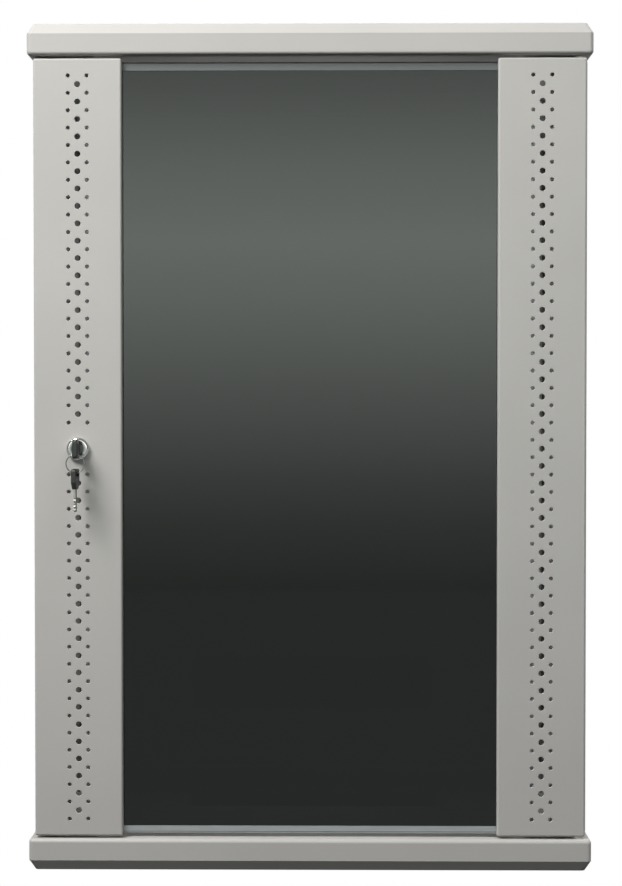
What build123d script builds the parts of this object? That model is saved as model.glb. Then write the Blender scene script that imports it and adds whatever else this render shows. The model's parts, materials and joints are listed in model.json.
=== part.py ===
from build123d import *
import math
import os

# Wall-mounted cabinet for 19-inch equipment, 18 units high.
# Millimetres, X to the right, -Y to the front, Z up.
# The origin is the middle of the surface that the cabinet stands on.

# Whole cabinet
WIDTH = 600.0
DEPTH = 450.0
HEIGHT = 901.0
BACK = DEPTH / 2

# How far a cutter reaches past the sheet that it cuts, and a screw past what it holds
PAST = 3.0
SCREW_END = 2.0

# Top and bottom covers
COVER_HEIGHT = 34.0
COVER_SHEET = 1.5
COVER_CORNER = 4.5
COVER_ROLL = 4.0
COVER_RETURN = 50.0
CHAMFER_HEIGHT = 11.0
CHAMFER_DEPTH = 6.0
FLOOR_TOP = COVER_HEIGHT
ROOF_UNDER = HEIGHT - COVER_HEIGHT

# Fan places and cable entries
FAN_SPACING = 260.0
FAN_Y = -40.0
FAN_BOLT_SQUARE = 105.0
FAN_BOLT_RADIUS = 2.25
FAN_SLOT = 6.0
FAN_SLOT_PITCH = 12.0
FAN_RADIUS = 54.0
ENTRY_WIDTH = 300.0
ENTRY_DEPTH = 60.0
ENTRY_Y = 130.0
ENTRY_PLATE_LAP = 12.0
ENTRY_SCREW_INSET = 6.5
TRIM_LIP = 4.0
TRIM_THICK = 1.5

# Screws
SCREW_RADIUS = 3.0
SCREW_HEAD = 5.5
SCREW_HEAD_THICK = 3.0
SMALL_SCREW = 2.0
SMALL_HEAD = 3.6
SMALL_HEAD_THICK = 1.6
HOLE_CLEARANCE = 0.25
FIT = 0.1
HEAD_ROUNDING = 0.6
SOCKET_SHARE = 0.6

# Folded sheet of the frame
SHEET = 1.5
BEND = 2.5
POST_FRONT = -200.0
POST_BACK = 200.0
POST_OUTER = 285.0
POST_INNER = 257.0
POST_DEPTH = 42.0
POST_RETURN = 14.0
POST_FOOT = 30.0

# Side rails that join front to rear
SIDE_RAIL_INNER = 268.5
SIDE_RAIL_HEIGHT = 30.0
SIDE_RAIL_LOW = 62.0
SIDE_RAIL_SLOT = 7.0
SIDE_RAIL_SLOT_LENGTH = 80.0
SIDE_RAIL_SLOT_PLACES = (-128.0, -20.0, 88.0)
CATCH_WIDTH = 60.0
CATCH_DROP = 18.0

# 19-inch equipment rails
UNIT = 44.45
UNITS = 18
UNIT_HOLES = (6.35, 22.225, 38.1)
HOLE_COLUMNS = 465.1
SQUARE_HOLE = 9.5
RAIL_SHEET = 2.0
RAIL_INNER_EDGE = 222.5
RAIL_OUTER = 252.0
RAIL_DEPTH = 38.0
RAIL_FRONT_Y = -150.0
RAIL_REAR_Y = 110.0
RAIL_BOTTOM = (HEIGHT - UNITS * UNIT) / 2
BRACKET_BOLT = 22.0
BRACKET_SHEET = 2.0
BRACKET_START = 6.0
BRACKET_BOLT_SHANK = 8.0
RAIL_TOP = RAIL_BOTTOM + UNITS * UNIT

# Rear panel and its wall holes
WALL_HOLE_X = 450.0
WALL_HOLE_Z = 700.0
WALL_HOLE_RADIUS = 5.0
REAR_LIP = 14.0
REAR_GAP = 0.5
REAR_ENTRY_Z = 135.0
REAR_SCREW_X = 277.0
REAR_SCREW_LEVELS = (150.0, 450.5, 751.0)
EARTH_PLACES = ((-190.0, 80.0), (-190.0, 820.0))
EARTH_STUD_LENGTH = 16.0
NUT_THICK = 4.0
EARTH_STUD_RADIUS = 3.0
EARTH_NUT = 10.0
EARTH_NUT_GAP = 1.0

# Side panels and their quarter-turn latches
PANEL_OUTER = 297.0
PANEL_SHEET = 1.2
PANEL_GAP = 2.0
PANEL_FRONT = -198.0
PANEL_BACK = 223.0
PANEL_LIP = 10.0
PANEL_BEND = 2.0
LATCH_Z = 768.0
LATCH_FLANGE = 13.0
LATCH_FLANGE_THICK = 2.0
LATCH_FLANGE_ROUNDING = 1.2
LATCH_BARREL = 9.0
LATCH_ROTOR = 6.0
LATCH_NUT = 23.0
COIN_SLOT_DEEP = 1.5
COIN_SLOT_WIDE = 1.8
LATCH_TAIL = 7.0
LATCH_CAM_LENGTH = 30.0
LATCH_CAM_WIDTH = 12.0
LATCH_CAM_X = 280.0
LATCH_TAIL_END = 1.5

# Door
DOOR_GAP = 2.5
DOOR_WIDTH = 587.0
DOOR_BOTTOM = FLOOR_TOP + DOOR_GAP
DOOR_TOP = ROOF_UNDER - DOOR_GAP
DOOR_HEIGHT = DOOR_TOP - DOOR_BOTTOM
DOOR_MIDDLE = (DOOR_TOP + DOOR_BOTTOM) / 2
DOOR_FRONT = -222.0
DOOR_BACK = -204.0
STRIP_WIDTH = 94.0
STRIP_STEP = 8.0
STRIP_FLANGE = 28.0
STRIP_LIP = 20.0
STRIP_AXIS = DOOR_WIDTH / 2 - STRIP_WIDTH / 2
HOLE_ROWS = 44
HOLE_PITCH = DOOR_HEIGHT / (HOLE_ROWS + 1)
LARGE_HOLE = 3.1
SMALL_HOLE = 2.1
SMALL_OFFSET = 10.0
LOCK_CLEAR_ROWS = 1.2

# Glass and what holds it
GLASS_THICK = 4.0
GLASS_LAP = 14.0
GLASS_CORNER = 1.0
SEAL_THICK = 1.5
SEAL_INSET = 1.5
GLASS_FRONT = DOOR_FRONT + STRIP_STEP + SEAL_THICK
GLASS_HALF = DOOR_WIDTH / 2 - STRIP_WIDTH + GLASS_LAP
GLASS_RAIL_SHEET = 1.2
GLASS_RAIL_LOW = (38.0, 46.0)
GLASS_RAIL_HIGH = (852.5, 861.5)
CLAMP_THICK = 2.0
CLAMP_SIZE = 20.0
CLAMP_LEVELS = (140.0, 450.5, 761.0)
CLAMP_STUD = 2.5
CLAMP_STUD_X = DOOR_WIDTH / 2 - STRIP_WIDTH + STRIP_FLANGE - 7.0
CLAMP_OUTER = CLAMP_STUD_X + 5.5
CLAMP_REACH = 9.0
CLAMP_SIDE_GAP = 1.0
CLAMP_ROUNDING = 0.6
CLAMP_NUT = 8.0
CLAMP_NUT_THICK = 2.2
CLAMP_STUD_END = 0.2

# Hinges
HINGE_X = 286.5
HINGE_Y = -213.0
PIN_RADIUS = 3.0
PIN_CLEARANCE = 0.05
COLLAR_RADIUS = 4.5
WASHER_RADIUS = 7.0
HINGE_PLATE = 2.0
EAR_REACH = 14.0
HINGE_SPREAD = 44.0
HINGE_PLATE_SIDE = 12.5
HINGE_EDGE_GAP = 0.1
PIN_TIP = 1.0
PIN_RISE = 4.0
LOWER_PIN_REACH = 26.0
PIN_HEAD_THICK = 3.0
HANDLE_DROP = 8.0
HANDLE_RADIUS = 2.0
HANDLE_REACH = 18.0
HANDLE_KNOB = 3.0
HANDLE_KNOB_ROUNDING = 1.2
COLLAR_THICK = 3.0
WASHER_GAP = 0.1
WASHER_ROUNDING = 0.4
SPRING_FIXED = DOOR_TOP - SHEET - HINGE_SPREAD + HINGE_PLATE
SPRING_TURNS = 5
SPRING_WIRE = 0.4
SPRING_RADIUS = 3.9
SPRING_LENGTH = 17.0
COLLAR_LOW = SPRING_FIXED + SPRING_LENGTH

# Door bumpers
BUMPER_RADIUS = 4.0
BUMPER_INSET = 15.5
BUMPER_GAP = 0.3
BUMPER_ROUNDING = 1.2
BUMPER_LEVELS = (200.0, 701.0)

# Lock, keys and ring
LOCK_X = -STRIP_AXIS
LOCK_Z = DOOR_MIDDLE
LOCK_BODY = 9.0
LOCK_BEZEL = 12.0
BEZEL_ROUNDING = 3.0
LOCK_NUT = 24.0
BEZEL_FRONT = DOOR_FRONT - 6.0
LOCK_REAR = -202.0
PLUG_RADIUS = 6.0
PLUG_INSET = 0.4
CAM_THICK = 2.0
CAM_FRONT = -198.0
CAM_WIDTH = 14.0
CAM_REACH = 30.0
CAM_SCREW_SHANK = 2.8
CAM_SCREW_HEAD = 5.0
CAM_SCREW_THICK = 2.2
PLUG_TAIL = 8.0
PLUG_BORE = 1.0
CAM_WINDOW_EDGE = 3.0
KEY_THICK = 2.0
KEY_WIDTH = 7.0
KEY_LENGTH = 22.5
BOW_THICK = 5.0
BOW_WIDTH = 20.0
BOW_LENGTH = 21.5
BOW_HOLE_LONG = 14.0
BOW_HOLE_SHORT = 5.0
BOW_RIM = 3.0
BOW_NECK = 8.0
BOW_SHOULDER = 7.0
BOW_CORNER = 3.0
BOW_EDGE = 0.7
BOW_GAP = 1.5
KEY_CUTS = (1.2, 0.7, 1.6, 1.0)
KEY_CUT_HALF = 1.5
KEY_CUT_PITCH = 3.2
KEY_FIRST_CUT = 4.0
KEY_TIP = 2.2
KEY_ROOT = 9.0
KEY_ROOT_WIDTH = 6.0
RING_RADIUS = 9.6
RING_WIRE = 0.6
RING_SLACK = 0.3
RING_DROP = RING_RADIUS - math.sqrt(RING_RADIUS**2 - (BOW_THICK / 2) ** 2)
SPARE_TURN = -5.0


def block(low, high):
    """A box between two corners."""
    size = [h - l for l, h in zip(low, high)]
    middle = [(l + h) / 2 for l, h in zip(low, high)]
    return Pos(*middle) * Box(*size)


def rod(axis, radius, place, low, high):
    """A round bar along X, Y or Z between two values; place gives its other two coordinates in order."""
    length = high - low
    middle = (low + high) / 2
    if axis == "x":
        return Pos(middle, place[0], place[1]) * Rot(0, 90, 0) * Cylinder(radius, length)
    if axis == "y":
        return Pos(place[0], middle, place[1]) * Rot(90, 0, 0) * Cylinder(radius, length)
    return Pos(place[0], place[1], middle) * Cylinder(radius, length)


def folded(points, sheet, bend, low, high):
    """A folded sheet section in the XY plane, stood up from low to high; the sheet lies left of the line."""
    line = FilletPolyline(*points, radius=bend)
    outline = offset(line, amount=sheet, side=Side.LEFT)
    return Pos(0, 0, low) * extrude(make_face(outline), amount=high - low)


def pan(low, high, sheet, bend, open_side, lip=0.0):
    """A hollow sheet pan between two corners; open_side is such as "+y", and the opening keeps a lip."""
    index = "xyz".index(open_side[1])
    axis = (Axis.X, Axis.Y, Axis.Z)[index]
    to_high = open_side[0] == "+"
    shells = []
    for inset, radius in ((0.0, bend), (sheet, bend - sheet)):
        body = block([value + inset for value in low], [value - inset for value in high])
        mouth_edges = body.faces().sort_by(axis)[-1 if to_high else 0].edges()
        edges = body.edges() if lip else body.edges() - mouth_edges
        shells.append(fillet(edges, radius))
    mouth_low = [value + (lip or sheet) for value in low]
    mouth_high = [value - (lip or sheet) for value in high]
    mouth_low[index] = high[index] - 2 * bend if to_high else low[index] - bend
    mouth_high[index] = high[index] + bend if to_high else low[index] + 2 * bend
    return shells[0] - shells[1] - block(mouth_low, mouth_high)


def mirrored(part):
    """The same piece on the cabinet's other side."""
    return mirror(part, about=Plane.YZ)


def save(name, *solids):
    """Write one node; a node of several fasteners is a group of separate solids."""
    shape = solids[0] if len(solids) == 1 else Compound(children=list(solids))
    shape.label = name
    export_step(shape, f"parts/{name}.step")


def cover_body(inset):
    """The outside of a cover drawn the top cover's way up from z = 0, or its inside when drawn smaller."""
    slope = math.atan2(CHAMFER_DEPTH, CHAMFER_HEIGHT)
    shoulder = COVER_HEIGHT - CHAMFER_HEIGHT - inset * math.tan(slope / 2)
    narrowing = CHAMFER_DEPTH + inset * math.tan((math.pi / 2 - slope) / 2)
    corner = COVER_CORNER - inset
    skirt_outline = RectangleRounded(WIDTH - 2 * inset, DEPTH - 2 * inset, corner)
    top_outline = RectangleRounded(WIDTH - 2 * narrowing, DEPTH - 2 * narrowing, corner)
    skirt = extrude(Pos(0, 0, inset) * skirt_outline, amount=shoulder - inset)
    skirt = fillet(skirt.faces().sort_by(Axis.Z)[0].edges(), COVER_ROLL - inset)
    shoulders = loft([Pos(0, 0, shoulder) * skirt_outline, Pos(0, 0, COVER_HEIGHT - inset) * top_outline])
    return skirt + shoulders


def cover_shell():
    """A cover's folded sheet: roof, chamfer, skirt, rolled lower edge and the flange that it stands on."""
    opening = Box(WIDTH - 2 * COVER_RETURN, DEPTH - 2 * COVER_RETURN, 4 * COVER_SHEET)
    return cover_body(0.0) - cover_body(COVER_SHEET) - opening


def post_screw_places():
    """Where the screws go through the covers' flanges into the posts' feet."""
    places = []
    for side in (-1, 1):
        for y in (POST_FRONT + POST_FOOT / 2, POST_BACK - POST_FOOT / 2):
            places.append((side * (POST_INNER + POST_OUTER) / 2, y))
    return places


def entry_screw_places(y):
    """The four corner screws of a cable entry's plate."""
    reach_x = ENTRY_WIDTH / 2 - ENTRY_SCREW_INSET
    reach_y = ENTRY_DEPTH / 2 + ENTRY_PLATE_LAP / 2
    return [(sx * reach_x, y + sy * reach_y) for sx in (-1, 1) for sy in (-1, 1)]


def fan_cutouts(x, z):
    """A fan's slotted grille and its four bolt holes, cut through the sheet at height z."""
    cuts = []
    steps = int(FAN_RADIUS // FAN_SLOT_PITCH)
    for step in range(-steps, steps + 1):
        offset_y = step * FAN_SLOT_PITCH
        half = math.sqrt(FAN_RADIUS**2 - offset_y**2)
        slot = SlotOverall(2 * half, FAN_SLOT)
        cuts.append(Pos(x, FAN_Y + offset_y, z - PAST) * extrude(slot, amount=2 * PAST))
    for sx in (-1, 1):
        for sy in (-1, 1):
            place = (x + sx * FAN_BOLT_SQUARE / 2, FAN_Y + sy * FAN_BOLT_SQUARE / 2)
            cuts.append(rod("z", FAN_BOLT_RADIUS, place, z - PAST, z + PAST))
    return cuts


def flange_holes(low, high):
    """Holes for the post screws and the hinge pin, cut through a cover's flange."""
    holes = [rod("z", SCREW_RADIUS + HOLE_CLEARANCE, place, low, high) for place in post_screw_places()]
    holes.append(rod("z", PIN_RADIUS + PIN_CLEARANCE, (HINGE_X, HINGE_Y), low, high))
    return holes


def top_cover():
    """Roof with two fan grilles and a cable entry."""
    cover = Pos(0, 0, ROOF_UNDER) * cover_shell()
    cuts = flange_holes(ROOF_UNDER - PAST, ROOF_UNDER + PAST)
    for side in (-1, 1):
        cuts += fan_cutouts(side * FAN_SPACING / 2, HEIGHT)
    cuts.append(Pos(0, ENTRY_Y, HEIGHT) * Box(ENTRY_WIDTH, ENTRY_DEPTH, 2 * PAST))
    radius = SMALL_SCREW + HOLE_CLEARANCE
    cuts += [rod("z", radius, place, HEIGHT - PAST, HEIGHT + PAST) for place in entry_screw_places(ENTRY_Y)]
    return cover - cuts


def bottom_cover():
    """Floor with one open cable entry; it is the top cover's shell turned over."""
    cover = Pos(0, 0, FLOOR_TOP) * mirror(cover_shell(), about=Plane.XY)
    cuts = flange_holes(FLOOR_TOP - PAST, FLOOR_TOP + PAST)
    cuts.append(Pos(0, ENTRY_Y, 0) * Box(ENTRY_WIDTH, ENTRY_DEPTH, 2 * PAST))
    return cover - cuts


def entry_plate():
    """Blanking plate inside the roof's cable entry, screwed from below."""
    top = HEIGHT - COVER_SHEET
    low = (-ENTRY_WIDTH / 2 - ENTRY_PLATE_LAP, ENTRY_Y - ENTRY_DEPTH / 2 - ENTRY_PLATE_LAP, top - SHEET)
    high = (-low[0], 2 * ENTRY_Y - low[1], top)
    plate = block(low, high)
    radius = SMALL_SCREW + HOLE_CLEARANCE
    return plate - [rod("z", radius, place, top - PAST, top + PAST) for place in entry_screw_places(ENTRY_Y)]


def screw(axis, place, face, head_side, shank, radius=SCREW_RADIUS, head=SCREW_HEAD, thick=SCREW_HEAD_THICK):
    """A button-head screw with a hexagon socket; its head sits on face and its shank runs the other way."""
    head_end = face + head_side * thick
    shank_end = face - head_side * shank
    body = rod(axis, head, place, min(face, head_end), max(face, head_end))
    rim = body.faces().sort_by({"x": Axis.X, "y": Axis.Y, "z": Axis.Z}[axis])[-1 if head_side > 0 else 0]
    body = fillet(rim.edges(), thick * HEAD_ROUNDING)
    body += rod(axis, radius, place, min(face, shank_end), max(face, shank_end))
    socket_end = head_end - head_side * thick * SOCKET_SHARE
    socket = rod(axis, radius * SOCKET_SHARE, place, min(head_end, socket_end), max(head_end, socket_end))
    return body - socket


def entry_plate_screws():
    """Screws that hold the blanking plate from below; they stay flush with the roof."""
    face = HEIGHT - COVER_SHEET - SHEET
    shank = COVER_SHEET + SHEET - 0.2
    places = entry_screw_places(ENTRY_Y)
    sizes = (SMALL_SCREW, SMALL_HEAD, SMALL_HEAD_THICK)
    return [screw("z", place, face, -1, shank, *sizes) for place in places]


def edge_trim(width, height):
    """Edging pressed into a cable entry: a lip on the sheet's inside and a sleeve flush with its outside.

    It is drawn flat, with the sheet between z = 0 outside and z = COVER_SHEET inside.
    """
    lip = block(
        (-width / 2 - TRIM_LIP, -height / 2 - TRIM_LIP, COVER_SHEET),
        (width / 2 + TRIM_LIP, height / 2 + TRIM_LIP, COVER_SHEET + TRIM_THICK),
    )
    lip = fillet(lip.edges().filter_by(Axis.Z), TRIM_LIP)
    sleeve = block((-width / 2, -height / 2, 0), (width / 2, height / 2, COVER_SHEET + TRIM_THICK))
    mouth = block(
        (-width / 2 + TRIM_THICK, -height / 2 + TRIM_THICK, -PAST),
        (width / 2 - TRIM_THICK, height / 2 - TRIM_THICK, COVER_SHEET + TRIM_THICK + PAST),
    )
    mouth = fillet(mouth.edges().filter_by(Axis.Z), TRIM_LIP)
    return lip + sleeve - mouth


def post(front, side):
    """A corner post: a folded section with a foot and a head plate that the covers' flanges screw to."""
    face = POST_FRONT if front else POST_BACK
    inward = 1 if front else -1
    points = [
        (POST_INNER, face + inward * POST_RETURN),
        (POST_INNER, face),
        (POST_OUTER, face),
        (POST_OUTER, face + inward * POST_DEPTH),
    ]
    if not front:
        points.reverse()
    body = folded(points, SHEET, BEND, FLOOR_TOP, ROOF_UNDER)
    foot_y = sorted((face + inward * SHEET, face + inward * POST_FOOT))
    for low in (FLOOR_TOP, ROOF_UNDER - 2 * SHEET):
        body += block(
            (POST_INNER + SHEET, foot_y[0], low),
            (POST_OUTER - SHEET, foot_y[1], low + 2 * SHEET),
        )
    places = [place for place in post_screw_places() if place[0] > 0 and place[1] * face > 0]
    body -= [rod("z", SCREW_RADIUS + HOLE_CLEARANCE, place, 0, HEIGHT) for place in places]
    return body if side > 0 else mirrored(body)


def cam_window():
    """The opening in the lock side's front post that lets the cam turn in behind the post's face."""
    left = -POST_INNER - BEND - CAM_WINDOW_EDGE / 2
    rear = CAM_FRONT + CAM_THICK + CAM_WINDOW_EDGE
    low = LOCK_Z - CAM_WIDTH / 2 - CAM_WINDOW_EDGE
    high = LOCK_Z + CAM_REACH + CAM_WINDOW_EDGE
    return block((left, POST_FRONT - PAST, low), (-POST_INNER + PAST, rear, high))


def frame_screws():
    """Screws from inside the covers up and down into the posts."""
    shank = COVER_SHEET + 2 * SHEET + SCREW_END
    screws = []
    for place in post_screw_places():
        screws.append(screw("z", place, FLOOR_TOP - COVER_SHEET, -1, shank))
        screws.append(screw("z", place, ROOF_UNDER + COVER_SHEET, 1, shank))
    return screws


def side_rail(upper, side):
    """A channel that joins a front post to a rear post, slotted for the equipment rails' brackets."""
    low = ROOF_UNDER - SIDE_RAIL_LOW if upper else FLOOR_TOP + SIDE_RAIL_LOW - SIDE_RAIL_HEIGHT
    high = low + SIDE_RAIL_HEIGHT
    reach = POST_BACK - SHEET - BEND
    outer = POST_OUTER - SHEET
    body = block((SIDE_RAIL_INNER, -reach, low), (outer, reach, high))
    body = fillet(body.faces().sort_by(Axis.X)[0].edges().filter_by(Axis.Y), BEND)
    body -= block(
        (SIDE_RAIL_INNER + SHEET, -reach - PAST, low + SHEET),
        (outer + PAST, reach + PAST, high - SHEET),
    )
    middle = (low + high) / 2
    slot = Pos(SIDE_RAIL_INNER - PAST, 0, middle) * extrude(
        Plane.YZ * SlotOverall(SIDE_RAIL_SLOT_LENGTH, SIDE_RAIL_SLOT), amount=3 * PAST
    )
    for y in SIDE_RAIL_SLOT_PLACES:
        body -= Pos(0, y, 0) * slot
    if upper:
        body += block(
            (outer - SHEET, -CATCH_WIDTH / 2, low - CATCH_DROP),
            (outer, CATCH_WIDTH / 2, low + SHEET),
        )
    return body if side > 0 else mirrored(body)


def square_holes():
    """The three square holes of each height unit, from the bottom unit up."""
    heights = []
    for unit in range(UNITS):
        for step in UNIT_HOLES:
            heights.append(RAIL_BOTTOM + unit * UNIT + step)
    return heights


def equipment_rail(y, inward, side):
    """An angle with square holes on the standard pitch; its leg runs inward from the hole face."""
    points = [(RAIL_INNER_EDGE, y), (RAIL_OUTER, y), (RAIL_OUTER, y + inward * RAIL_DEPTH)]
    if inward < 0:
        points.reverse()
    body = folded(points, RAIL_SHEET, BEND, RAIL_BOTTOM, RAIL_TOP)
    column = HOLE_COLUMNS / 2
    cutters = Sketch() + [
        Pos(column, height) * Rectangle(SQUARE_HOLE, SQUARE_HOLE) for height in square_holes()
    ]
    body -= Pos(0, y + 3 * RAIL_SHEET, 0) * extrude(Plane.XZ * cutters, amount=6 * RAIL_SHEET)
    return body if side > 0 else mirrored(body)


def bracket_places():
    """(rail face, direction its leg runs, middle height) for the brackets on one side."""
    low = FLOOR_TOP + SIDE_RAIL_LOW - SIDE_RAIL_HEIGHT / 2
    high = ROOF_UNDER - SIDE_RAIL_LOW + SIDE_RAIL_HEIGHT / 2
    places = []
    for y, inward in ((RAIL_FRONT_Y, 1), (RAIL_REAR_Y, -1)):
        places += [(y, inward, low), (y, inward, high)]
    return places


def rail_brackets():
    """U brackets between the side rails and the equipment rails."""
    brackets = []
    for y, inward, middle in bracket_places():
        web = y + inward * BRACKET_START
        tip = y + inward * RAIL_DEPTH
        half = SIDE_RAIL_HEIGHT / 2 - BRACKET_SHEET
        body = block(
            (RAIL_OUTER, min(web, tip), middle - half),
            (SIDE_RAIL_INNER, max(web, tip), middle + half),
        )
        hollow = (web + inward * BRACKET_SHEET, tip + inward * PAST)
        body -= block(
            (RAIL_OUTER + BRACKET_SHEET, min(hollow), middle - half - PAST),
            (SIDE_RAIL_INNER - BRACKET_SHEET, max(hollow), middle + half + PAST),
        )
        brackets += [body, mirrored(body)]
    return brackets


def rail_bolts():
    """Bolts through the equipment rails and through the side rails' slots into the brackets."""
    bolts = []
    for y, inward, middle in bracket_places():
        place = (y + inward * BRACKET_BOLT, middle)
        for body in (
            screw("x", place, RAIL_OUTER - RAIL_SHEET, -1, BRACKET_BOLT_SHANK),
            screw("x", place, SIDE_RAIL_INNER - BRACKET_SHEET, -1, BRACKET_BOLT_SHANK),
        ):
            bolts += [body, mirrored(body)]
    return bolts


def rail_bolt_holes():
    """Clearance holes for the bracket bolts of one side, through rails and brackets."""
    radius = SCREW_RADIUS + HOLE_CLEARANCE
    return [
        rod("x", radius, (y + inward * BRACKET_BOLT, middle), RAIL_INNER_EDGE, SIDE_RAIL_INNER + 0.5)
        for y, inward, middle in bracket_places()
    ]


def rear_screw_holes():
    """Holes through the rear posts' legs and the rear panel's lips."""
    radius = SCREW_RADIUS + HOLE_CLEARANCE
    return [
        rod("y", radius, (side * REAR_SCREW_X, level), POST_BACK - PAST, POST_BACK + PAST)
        for side in (-1, 1)
        for level in REAR_SCREW_LEVELS
    ]


def rear_screws():
    """Screws from inside the cabinet into the rear panel's lips."""
    return [
        screw("y", (side * REAR_SCREW_X, level), POST_BACK - SHEET, -1, 2 * SHEET + SCREW_END)
        for side in (-1, 1)
        for level in REAR_SCREW_LEVELS
    ]


def rear_panel():
    """Back pan with four wall holes and a cable entry."""
    low = (-POST_OUTER, POST_BACK, FLOOR_TOP + REAR_GAP)
    high = (POST_OUTER, BACK, ROOF_UNDER - REAR_GAP)
    panel = pan(low, high, SHEET, BEND, "-y", REAR_LIP)
    cuts = rear_screw_holes()
    for sx in (-1, 1):
        for sz in (-1, 1):
            place = (sx * WALL_HOLE_X / 2, HEIGHT / 2 + sz * WALL_HOLE_Z / 2)
            cuts.append(rod("y", WALL_HOLE_RADIUS, place, BACK - PAST, BACK + PAST))
    cuts.append(Pos(0, BACK, REAR_ENTRY_Z) * Box(ENTRY_WIDTH, 2 * PAST, ENTRY_DEPTH))
    return panel - cuts


def hexagon(axis, across, hole, place, low, high):
    """A hexagonal nut with a round hole."""
    body = extrude(RegularPolygon(across / 2, 6, major_radius=False), amount=high - low)
    body -= Pos(0, 0, (high - low) / 2) * Cylinder(hole, 4 * (high - low))
    if axis == "y":
        return Pos(place[0], low, place[1]) * Rot(-90, 0, 0) * body
    return Pos(place[0], place[1], low) * body


def earth_studs():
    """Weld studs on the rear panel's inside for the earthing leads."""
    end = BACK - SHEET
    return [rod("y", EARTH_STUD_RADIUS, place, end - EARTH_STUD_LENGTH, end) for place in EARTH_PLACES]


def earth_nuts():
    """Nuts on the earth studs."""
    low = BACK - SHEET - NUT_THICK - EARTH_NUT_GAP
    hole = EARTH_STUD_RADIUS + FIT / 2
    return [hexagon("y", EARTH_NUT, hole, place, low, low + NUT_THICK) for place in EARTH_PLACES]


def side_panel(side):
    """Removable side pan with the hole for its latch."""
    low = (POST_OUTER, PANEL_FRONT, FLOOR_TOP + PANEL_GAP)
    high = (PANEL_OUTER, PANEL_BACK, ROOF_UNDER - PANEL_GAP)
    panel = pan(low, high, PANEL_SHEET, PANEL_BEND, "-x", PANEL_LIP)
    panel -= rod("x", LATCH_BARREL + FIT, (0, LATCH_Z), PANEL_OUTER - PAST, PANEL_OUTER + PAST)
    return panel if side > 0 else mirrored(panel)


def latch_body(side):
    """The latch's fixed flange and barrel with its nut."""
    place = (0, LATCH_Z)
    flange = rod("x", LATCH_FLANGE, place, PANEL_OUTER, PANEL_OUTER + LATCH_FLANGE_THICK)
    flange = fillet(flange.faces().sort_by(Axis.X)[-1].edges(), LATCH_FLANGE_ROUNDING)
    body = flange + rod("x", LATCH_BARREL, place, POST_OUTER, PANEL_OUTER)
    body -= rod("x", LATCH_ROTOR + FIT / 2, place, POST_OUTER - PAST, PANEL_OUTER + PAST)
    return body if side > 0 else mirrored(body)


def latch_nut(side):
    """Ring nut that clamps the latch to the side panel."""
    low = PANEL_OUTER - PANEL_SHEET - NUT_THICK
    nut = extrude(RegularPolygon(LATCH_NUT / 2, 6, major_radius=False), amount=NUT_THICK)
    nut -= Cylinder(LATCH_BARREL + FIT / 2, 4 * NUT_THICK)
    nut = Pos(low, 0, LATCH_Z) * Rot(0, 90, 0) * nut
    return nut if side > 0 else mirrored(nut)


def latch_rotor(side):
    """The part that a coin turns: a slotted face, a shank and a square tail."""
    place = (0, LATCH_Z)
    face = PANEL_OUTER + LATCH_FLANGE_THICK
    shoulder = LATCH_CAM_X + CAM_THICK / 2
    body = rod("x", LATCH_ROTOR, place, shoulder, face)
    body -= Pos(face, 0, LATCH_Z) * Box(2 * COIN_SLOT_DEEP, COIN_SLOT_WIDE, 1.7 * LATCH_ROTOR)
    tail_end = LATCH_CAM_X - CAM_THICK / 2 - LATCH_TAIL_END
    half = LATCH_TAIL / 2
    body += block((tail_end, -half, LATCH_Z - half), (shoulder, half, LATCH_Z + half))
    return body if side > 0 else mirrored(body)


def latch_cam(side):
    """The tongue that turns up behind the side rail's catch; it lies level when the latch is open."""
    outline = SlotOverall(LATCH_CAM_LENGTH + LATCH_CAM_WIDTH / 2, LATCH_CAM_WIDTH)
    shift = (LATCH_CAM_LENGTH - LATCH_CAM_WIDTH / 2) / 2
    hole = Rectangle(LATCH_TAIL + FIT, LATCH_TAIL + FIT)
    flat = extrude(Plane.YZ * (Pos(shift, 0) * outline - hole), amount=CAM_THICK)
    cam = Pos(LATCH_CAM_X - CAM_THICK / 2, 0, LATCH_Z) * flat
    return cam if side > 0 else mirrored(cam)


def strip_holes():
    """The strip's ventilation pattern: (radius, x offset, z) for each hole, from the bottom up."""
    rows = [DOOR_BOTTOM + HOLE_PITCH * (row + 1) for row in range(HOLE_ROWS)]
    holes = [(SMALL_HOLE, sx * SMALL_OFFSET, z) for z in rows for sx in (-1, 1)]
    holes += [(LARGE_HOLE, 0.0, z + HOLE_PITCH / 2) for z in rows[:-1]]
    return holes


def door_strip(side, holes):
    """A perforated front strip: folded edges, end flaps, and a set-back flange that carries the glass."""
    inner = DOOR_WIDTH / 2 - STRIP_WIDTH
    low = (inner, DOOR_FRONT, DOOR_BOTTOM)
    high = (DOOR_WIDTH / 2, DOOR_BACK, DOOR_TOP)
    strip = pan(low, high, SHEET, BEND, "+y", STRIP_LIP)
    step = DOOR_FRONT + STRIP_STEP
    strip -= block(
        (inner - PAST, step, DOOR_BOTTOM - PAST),
        (inner + STRIP_FLANGE, DOOR_BACK + PAST, DOOR_TOP + PAST),
    )
    strip += block((inner, step - SHEET, DOOR_BOTTOM), (inner + STRIP_FLANGE, step, DOOR_TOP))
    circles = Sketch() + [Pos(STRIP_AXIS + x, z) * Circle(radius) for radius, x, z in holes]
    strip -= Pos(0, DOOR_FRONT + 3 * SHEET, 0) * extrude(Plane.XZ * circles, amount=6 * SHEET)
    return strip if side > 0 else mirrored(strip)


def door_strip_right():
    """The hinge strip, with pin holes in its end flaps."""
    strip = door_strip(1, strip_holes())
    return strip - rod("z", PIN_RADIUS + PIN_CLEARANCE, (HINGE_X, HINGE_Y), 0, HEIGHT)


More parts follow.
